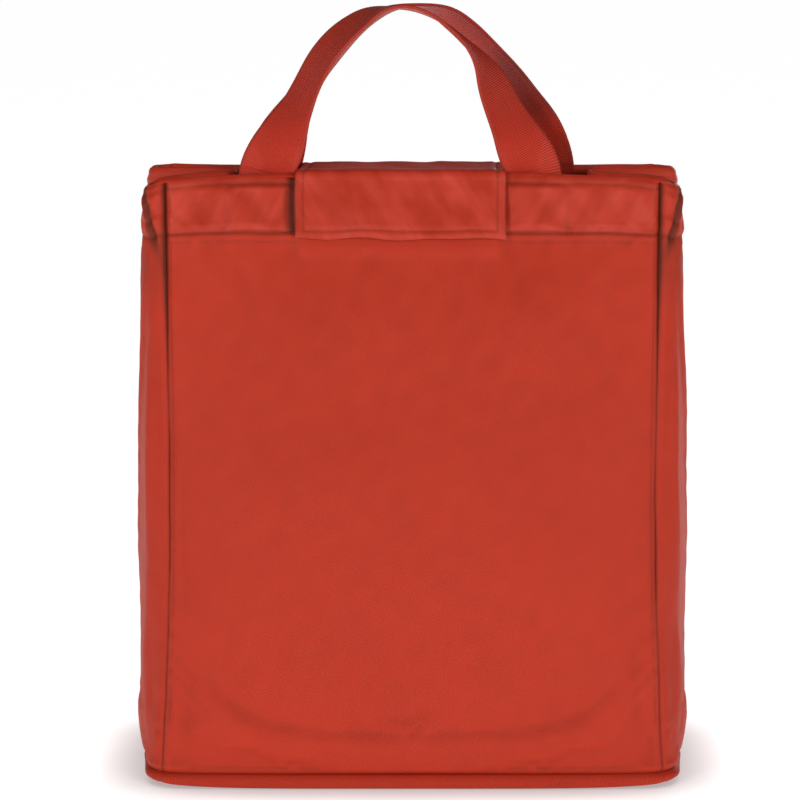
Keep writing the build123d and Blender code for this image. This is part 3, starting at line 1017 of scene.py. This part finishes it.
def make_base():
    """A shallow cloth tray that bulges below the bottom seam and lies flat on the floor, with foam in it."""
    ring = base_ring()
    half = np.array([side_x(SEAM_Z), middle_y(SEAM_Z)])
    # (height, how far out of the seam's line): tucked at the seam, bulging, then in to the flat floor
    profile = [(8.3, -0.3), (7.3, 0.9), (5.8, 1.9), (4.0, 2.3), (2.3, 2.1), (0.9, 1.2), (0.2, 0.1)]
    profile += [(0.0, -1.8)]
    corner_lift = 3.2 * MM * np.minimum((abs(ring[:, 0]) / half[0]) ** 6, 1.0)
    rows = []
    for z, out in profile:
        height = z * MM + corner_lift * (1 - z / 9)
        rows.append(np.concatenate([ring[:, :2] * (1 + out * MM / half), height[:, None]], axis=1))
    for share in (0.9, 0.8, 0.65, 0.5, 0.35, 0.2, 0.06):
        row = rows[7].copy()
        row[:, :2] *= share
        row[:, 2] = corner_lift * max(0.0, 1 - 6 * (1 - share))
        rows.append(row)
    outer = np.array(rows)
    inner = outer.copy()
    inner[:, :, 2] += 0.8 * MM * ease(np.arange(len(rows)) / 4.0)[:, None]
    inner[:8, :, :2] *= 1 - 0.8 * MM / half
    tray = bowl_solid("base_cloth", outer, inner, cloth)
    attach(tray, "bag", "red_cloth", "base_panel")

    lift = []
    for z, share in ((1.0, 0.3), (1.0, 0.93), (1.6, 0.95), (2.9, 0.94), (3.1, 0.9), (3.1, 0.6), (3.1, 0.3)):
        row = ring.copy()
        row[:, :2] *= share
        row[:, 2] = z * MM
        if z > 3:
            row[:, 2] += 0.2 * MM * waves(row[:, 0], row[:, 1], 18 * MM, 71)
        lift.append(row)
    lift = np.array(lift)
    foam = tube_solid("base_foam", lift, lift[..., :2], foil_foam)
    attach(foam, "bag", "foil_foam", "base_insulation")


# ---------------------------------------------------------------- handles
FOOT_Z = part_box("front_handle_strap")[0].z
STRAP_THICKNESS = 1.5 * MM
HANDLE_Y, HINGE_Y = 16 * MM, 23.5 * MM  # distances of the webbing and of its hinge from the middle plane
STRAP_STEP = RIB / 4
# Each arch: (share of the half span, height of the webbing's middle above the foot in mm), from foot to top
ARCHES = {
    "front": [(1, 0), (0.917, 12.5), (0.845, 23), (0.77, 34), (0.7, 45.5), (0.585, 62), (0.43, 74.5)]
    + [(0.28, 82.8), (0.14, 88), (0, 89.5)],
    "rear": [(1, 0), (0.955, 12), (0.9, 23), (0.825, 33), (0.75, 43.5), (0.58, 60), (0.445, 71), (0.305, 80)]
    + [(0.2, 84.5), (0.1, 87), (0, 87.5)],
}
# How far each leg, left and right, has turned towards lying flat: shares of its rise, and degrees
TURNS = {
    "front": (
        ((0, 0.12, 0.21, 0.28, 0.36, 0.5, 0.69, 0.87, 0.95, 1), (0, 14, 29, 41, 53, 62, 66, 72, 80, 99)),
        ((0, 0.12, 0.28, 0.38, 0.5, 0.58, 0.67, 0.78, 0.9, 1), (0, 16, 43, 50, 56, 63, 77, 90, 94, 99)),
    ),
    "rear": (
        ((0, 0.12, 0.3, 0.5, 0.7, 0.86, 0.95, 1), (0, 14, 44, 65, 70, 74, 78, 84)),
        ((0, 0.12, 0.3, 0.5, 0.7, 0.86, 0.95, 1), (0, 10, 32, 50, 60, 63, 69, 84)),
    ),
}


def strap_line(name, way):
    """Middle of a strap from its left sewn end over the arch to the right one: points, ways along and
    across, distances along it, shares of its rise and distances from its centre."""
    left, right = handle_feet(name)
    centre, half = (left + right) / 2, (right - left) / 2
    tail = [(-half, -29 * MM), (-half, -14 * MM)]
    arch = [(-s * half, r * MM) for s, r in ARCHES[name]]
    knots = np.array(tail + arch + [(-x, z) for x, z in reversed(tail + arch[:-1])])
    run = lengths_along(knots)
    fine = np.arange(0.0, run[-1], STRAP_STEP)
    x, z = (smooth_run(hermite(run, column)(fine), 5 * MM / STRAP_STEP) for column in knots.T)
    lean = way * (middle_y(0.3) - middle_y(RIM)) * np.clip(-z / (RIM - 0.3), 0, 1.2)
    points = np.stack([centre + x, way * HANDLE_Y + lean, FOOT_Z + z], axis=1)
    along = unit(np.gradient(points, axis=0))
    outward = unit(np.stack([-along[:, 2], 0 * x, along[:, 0]], axis=1))
    share = np.clip(z / (ARCHES[name][-1][1] * MM), 0.0, 1.0)
    turn = np.where(x < 0, *(hermite(*table)(share) for table in TURNS[name]))
    turn = np.radians(smooth_run(turn, 4 * MM / STRAP_STEP))[:, None]
    across = unit(outward * np.cos(turn) + np.array([0.0, -way, 0.0]) * np.sin(turn))
    return points, along, across, fine, share, x


def make_handle(name, way, seed, underside_shade):
    """A handle's webbing with its sewn ends; its last argument is how much painted shade darkens its inner
    face under the other strap.
    """
    points, along, across, run, share, x = strap_line(name, way)
    face = unit(np.cross(across, along))
    # The ring round the webbing: places across it and on which face, with rounded selvages
    half, thick = STRAP_WIDTH / 2, STRAP_THICKNESS / 2
    places = np.linspace(-0.97, 0.97, 23)
    ring = [(p * half, 1.0) for p in places] + [(half, 0.45), (half, -0.45)]
    ring += [(p * half, -1.0) for p in places[::-1]] + [(-half, -0.45), (-half, 0.45)]
    rib = np.cos(2 * np.pi * run / RIB)
    sections = np.zeros((len(run), len(ring), 3))
    uv = np.zeros((len(run), len(ring), 2))
    for k, (place, level) in enumerate(ring):
        selvage = ridge(abs(place) - half, 1.2 * MM)
        weave = 0.15 * MM * rib * (1 - 0.6 * selvage)
        height = level * (thick + weave * abs(level)) + 0.1 * MM * level * selvage
        slack = 0.25 * MM * waves(np.full_like(run, place), run, 45 * MM, seed)
        sections[:, k] = points + across * place + face * (height + slack * ease(share * 4))[:, None]
        uv[:, k, 0], uv[:, k, 1] = place, run
    inner_face = np.array([level < 0 for _, level in ring], float)
    # Painted shade: the inner face darkens where it lies under the other strap, and both selvages darken
    painted_underside_shade = (underside_shade * band(share, 0.26, 0.68, 0.2) * (x > 0))[:, None] * inner_face
    edge_soil = 0.25 * ridge(abs(uv[..., 0]) - STRAP_WIDTH / 2, 1.5 * MM)
    strap = tube_solid(f"{name}_webbing", sections, uv, webbing, soil=painted_underside_shade + edge_soil)
    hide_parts(f"{name}_handle_strap", f"{name}_handle_ends")
    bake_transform(strap)


# ---------------------------------------------------------------- flap
FLAP_THICK = 0.65 * MM
FLAP_EDGE = 4.3 * MM  # distance of the topstitching from the edge
FLAP_COLUMNS = 91
TAIL_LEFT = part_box("flap_tail")[0].x


def face_y(x, z):
    """y of the front wall's plain face."""
    return wall_face(x / seam_x(z), z)[..., 1]


# Side view of the face between cover and lining: (y, z) from the tail inside the back hem, up to the back
# rim, over the mouth, round the front rim and down to the free edge
FLAP_PROFILE = [(24.0, 306.0), (17.2, 322.0), (16.3, 329.6), (15.3, 331.25), (12.5, 331.6)]
FLAP_PROFILE += [(5.0, 331.2), (-5.0, 331.0), (-14.0, 331.3), (-21.0, 331.75)]
FLAP_PROFILE += [(-23.6, 331.2), (-24.9, 329.4), (-25.6, 327.2)]
FLAP_PROFILE += [(-28.2, 320.9), (-32.0, 312.0), (-35.6, 303.4), (-37.0, 299.6), (-37.4, 297.0)]
# Places in that list: the bridge's ends, the two points its pieces meet between, and the tip's top
BRIDGE_START, CREASE_START, CREASE_END, BRIDGE_END, HANG_START = 4, 6, 7, 8, 9


def flap_grid():
    """Points of the flap's middle face, the distances along its rows and its profile, and each point's
    distance from the side edges and from the free edge."""
    line = np.array(FLAP_PROFILE) * MM
    run = lengths_along(line)
    first, last = run[BRIDGE_START], run[BRIDGE_END]
    rows = steps((0.0, first, 0.8 * MM), (first, last, 1.5 * MM), (last, run[-1], 0.8 * MM))
    y, z = (hermite(run, column)(rows)[:, None] for column in line.T)
    share = np.linspace(0, 1, FLAP_COLUMNS)
    share = 0.5 + 0.5 * np.sin((share - 0.5) * np.pi * 0.86) / math.sin(0.43 * np.pi)
    widen = ease((rows - first) / (last - first))
    left = TAIL_LEFT + (FLAP_LOW.x - TAIL_LEFT) * widen
    right = np.full_like(left, FLAP_HIGH.x)
    x = left[:, None] + (right - left)[:, None] * share
    yy, zz = y + 0 * x, z + 0 * x
    # The front wall is not flat across: the tip follows it
    down = ease((rows - run[HANG_START]) / (6 * MM))[:, None]
    yy = yy + down * (face_y(x, np.minimum(zz, RIM)) - face_y(0 * x, np.minimum(zz, RIM)))
    grid = np.stack([x, yy, zz], axis=-1)
    side = np.minimum(x - left[:, None], right[:, None] - x)
    bottom = (run[-1] - rows)[:, None] + 0 * x
    return grid, rows, run, side, bottom


def make_flap():
    """The flap's two layers, each in two pieces that meet in front of the bridge, and its topstitching."""
    grid, rows, run, side, bottom = flap_grid()
    normal = facing(grid, (0, 0, 1))
    x, s = grid[..., 0], rows[:, None] + 0 * grid[..., 0]
    edge = np.minimum(side, bottom)
    hanging = ease((rows - run[HANG_START]) / (6 * MM))[:, None]
    lifted = hanging * band(x, 8 * MM, 30 * MM, 14 * MM) * ridge(bottom, 9 * MM)
    wave = 0.5 * MM * waves(x - 0.8 * s, s, 30 * MM, 51, stretch=2.0) + 0.14 * MM * waves(x, s, 13 * MM, 52)
    drift = hanging * (wave + 1.1 * MM * lifted) + (1 - hanging) * 0.4 * wave
    puff = 0.32 * MM * ease((edge - FLAP_EDGE) / (3 * MM)) + 0.1 * MM * ridge(edge - 1.6 * MM, 1.6 * MM)
    groove = -0.25 * MM * ridge(edge - FLAP_EDGE, 0.8 * MM)
    tuck = -0.35 * MM * ridge(edge, 0.7 * MM)
    middle = grid + normal * drift[..., None]
    rag = 0.25 * MM * waves(s, x, 30 * MM, 53)
    middle[..., 0] += np.where(x < -6 * MM, 1, -1) * rag * ridge(side, 8 * MM)
    middle[..., 2] += hanging * ridge(bottom, 6 * MM) * 0.5 * MM * waves(x, s, 36 * MM, 54)
    cover = middle + normal * (FLAP_THICK + puff + groove + tuck)[..., None]
    lining = middle - normal * (FLAP_THICK + 0.5 * puff + groove + tuck)[..., None]
    between = normal * 0.04 * MM
    uv = np.stack([x, s], axis=-1)
    # Painted shade along the topstitching groove and at the flap's edges
    soil = np.clip(0.3 * ridge(edge - FLAP_EDGE, 0.9 * MM) + 0.25 * ridge(edge, 1.0 * MM), 0, 1)
    cut = int(np.searchsorted(rows, (run[CREASE_START] + run[CREASE_END]) / 2))
    for layer, top, low, look, slot_name, rear_nodes in (
        ("cover", cover, middle + between, cloth, "red_cloth", ("flap_tail", "flap_cover")),
        ("lining", middle - between, lining, inner_cloth, "lining_cloth", ("flap_lining",)),
    ):
        grids = (top, low, uv)
        rear_grids, tip_grids = [g[: cut + 1] for g in grids], [g[cut:] for g in grids]
        rear = sheet_solid(f"flap_{layer}_root", *rear_grids, look, soil=soil[: cut + 1])
        tip = sheet_solid(f"flap_{layer}_tip", *tip_grids, look, soil=soil[cut:], gloss=0.9)
        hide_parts(*rear_nodes)
        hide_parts(f"flap_tip_{layer}")
        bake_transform(rear)
        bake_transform(tip)
    make_flap_stitches(cover, normal, cut, int(np.searchsorted(rows, run[-1] - FLAP_EDGE)))


def make_flap_stitches(top, normal, cut, last):
    """Topstitching along the flap's three free edges: down both sides, and across row last."""

    def column(inward):
        """Points down the flap, inward from its left (positive) or right (negative) edge, and normals."""
        points, ups = [], []
        for row, row_normal in zip(top, normal):
            x = row[:, 0]
            want = (x[0] if inward > 0 else x[-1]) + inward
            points.append([want, *(np.interp(want, x, row[:, k]) for k in (1, 2))])
            ups.append([np.interp(want, x, row_normal[:, k]) for k in range(3)])
        return np.array(points), np.array(ups)

    lines = [column(FLAP_EDGE), column(-FLAP_EDGE)]
    rear = [(p[4 : cut + 1], n[4 : cut + 1]) for p, n in lines]
    tip = [(p[cut : last + 1], n[cut : last + 1]) for p, n in lines]
    inside = (top[last, :, 0] > lines[0][0][last, 0]) & (top[last, :, 0] < lines[1][0][last, 0])
    tip.append((top[last][inside], normal[last][inside]))
    root_thread = stitches("flap_root_stitches", rear, thread)
    tip_thread = stitches("flap_tip_stitches", tip, thread)
    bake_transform(root_thread)
    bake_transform(tip_thread)


def make_strips():
    """Loop tape on the front wall and hook tape behind the flap's tip, both oblong with sunken edges."""
    low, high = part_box("loop_strip")
    for name, near, far, look, body, seed in (
        ("loop", 0.25 * MM, 1.0 * MM, loop_tape, "bag", 81),
        ("hook", 1.25 * MM, 1.7 * MM, hook_tape, "flap_tip", 82),
    ):
        xx, zz = np.meshgrid(steps((low.x, high.x, 1.2 * MM)), steps((low.z, high.z, 1.2 * MM)))
        face = np.stack([xx, face_y(xx, zz), zz], axis=-1)
        normal = facing(face, FRONTWARDS)
        edge = np.minimum(np.minimum(xx - low.x, high.x - xx), np.minimum(zz - low.z, high.z - zz))
        fuzz = 0.12 * MM * waves(xx, zz, 4 * MM, seed) - 0.3 * MM * ridge(edge, 1.2 * MM)
        front = face + normal * (far + fuzz)[..., None]
        tape = sheet_solid(f"{name}_tape", front, face + normal * near, np.stack([xx, zz], axis=-1), look)
        attach(tape, body, f"{name}_strip", f"{name}_strip")


# ---------------------------------------------------------------- stitching on the bag
def make_hem_stitches(walls):
    """The row of stitches that holds the hem, on all four sides."""
    lines = []
    heights = HEM_LINE + MM * np.array([-1, 0, 1])
    for signs, points_at, shares in walls:
        points, normal = (grid[1, 2:-2] for grid in points_at(shares, heights)[:2])
        lines.append((settle(points + normal * 0.15 * MM, signs), mirrored(normal, signs)))
    attach(stitches("hem_stitches", lines, thread), "bag", "red_cloth")


# ---------------------------------------------------------------- assembly
walls = [
    make_wall("front", (1, 1, 1), handle_feet("front"), FRONT_FOLDS, 3, True),
    make_wall("back", (1, -1, 1), handle_feet("rear"), BACK_FOLDS, 23, False),
    make_side("left", (1, 1, 1), 41),
    make_side("right", (-1, 1, 1), 46),
]
make_base()
make_handle("front", -1, 31, 0.0)
make_handle("rear", 1, 32, 0.5)
make_flap()
make_strips()
make_hem_stitches(walls)


# ---------------------------------------------------------------- floor, light and camera
def make_stage():
    """A wide pale floor that glows a little, as on a light table, with a painted contact shadow round the
    bag.
    """

    def floor_look(tree, shader):
        place = node(tree, "ShaderNodeTexCoord").outputs["Object"]
        grain = noise(tree, place, 30.0)
        # Painted contact shadow: the floor's colour and glow darken where ambient occlusion finds the bag
        # near
        painted_contact_shadow = node(tree, "ShaderNodeAmbientOcclusion", Distance=0.03, samples=16)
        shade = calc(tree, "POWER", painted_contact_shadow.outputs["AO"], 2.0)
        paper = tint(tree, grain, (0.9, 0.9, 0.9), (0.94, 0.94, 0.94))
        tree.links.new(blended(tree, shade, (0.3, 0.3, 0.3), paper), shader.inputs["Base Color"])
        glow = blended(tree, shade, (0.42, 0.42, 0.42), (1.0, 1.0, 1.0))
        tree.links.new(glow, shader.inputs["Emission Color"])

    pale, glow = (0.92, 0.92, 0.92), dict(Emission_Color=(1, 1, 1, 1), Emission_Strength=FLOOR_GLOW)
    look = material("pale_floor", pale, 0.7, floor_look, **glow)
    corners = FLOOR_HALF * np.array([(-1, -1, 0), (1, -1, 0), (1, 1, 0), (-1, 1, 0)], float)
    floor = mesh_object("floor", corners, [[0, 1, 2, 3]], corners[:, :2], look)


def area_light(name, place, target, size, power):
    data = bpy.data.lights.new(name, "AREA")
    data.shape = "RECTANGLE"
    data.size, data.size_y = size
    data.energy = power
    data.spread = math.radians(60)
    made = bpy.data.objects.new(name, data)
    made.location = place
    made.rotation_euler = (Vector(target) - Vector(place)).to_track_quat("-Z", "Y").to_euler()
    bpy.context.scene.collection.objects.link(made)


FLOOR_GLOW = 0.84
FLOOR_HALF = 25.0


def make_lights():
    """Two softboxes in front, near the bag's own height, and a dim white room."""
    middle = (0.0, 0.0, 0.8)
    area_light("left_softbox", (-1.25, -2.0, 0.95), middle, (0.8, 0.9), 2.8)
    area_light("right_softbox", (1.25, -2.0, 0.9), middle, (0.8, 0.9), 2.6)
    area_light("rear_softbox", (0.8, 2.1, 0.6), middle, (1.0, 0.8), 2.6)
    world = bpy.data.worlds.new("studio")
    world.use_nodes = True
    world.node_tree.nodes["Background"].inputs["Color"].default_value = (1, 1, 1, 1)
    world.node_tree.nodes["Background"].inputs["Strength"].default_value = 0.16
    bpy.context.scene.world = world
    bpy.context.scene.view_settings.view_transform = "Standard"


def make_camera():
    """Looks along +Y and 10.5 degrees down from about 2.1 m."""
    pitch, distance = math.radians(10.5), 2.1
    target = Vector((0.0, 0.0, 0.21))
    data = bpy.data.cameras.new("camera")
    data.sensor_width = 36.0
    data.lens = 171.4
    data.shift_x, data.shift_y = -0.0156, -0.018
    made = bpy.data.objects.new("camera", data)
    back = Vector((0.0, -math.cos(pitch), math.sin(pitch)))
    made.location = target + back * distance
    made.rotation_euler = (-back).to_track_quat("-Z", "Y").to_euler()
    bpy.context.scene.collection.objects.link(made)
    bpy.context.scene.camera = made


make_stage()
make_lights()
make_camera()
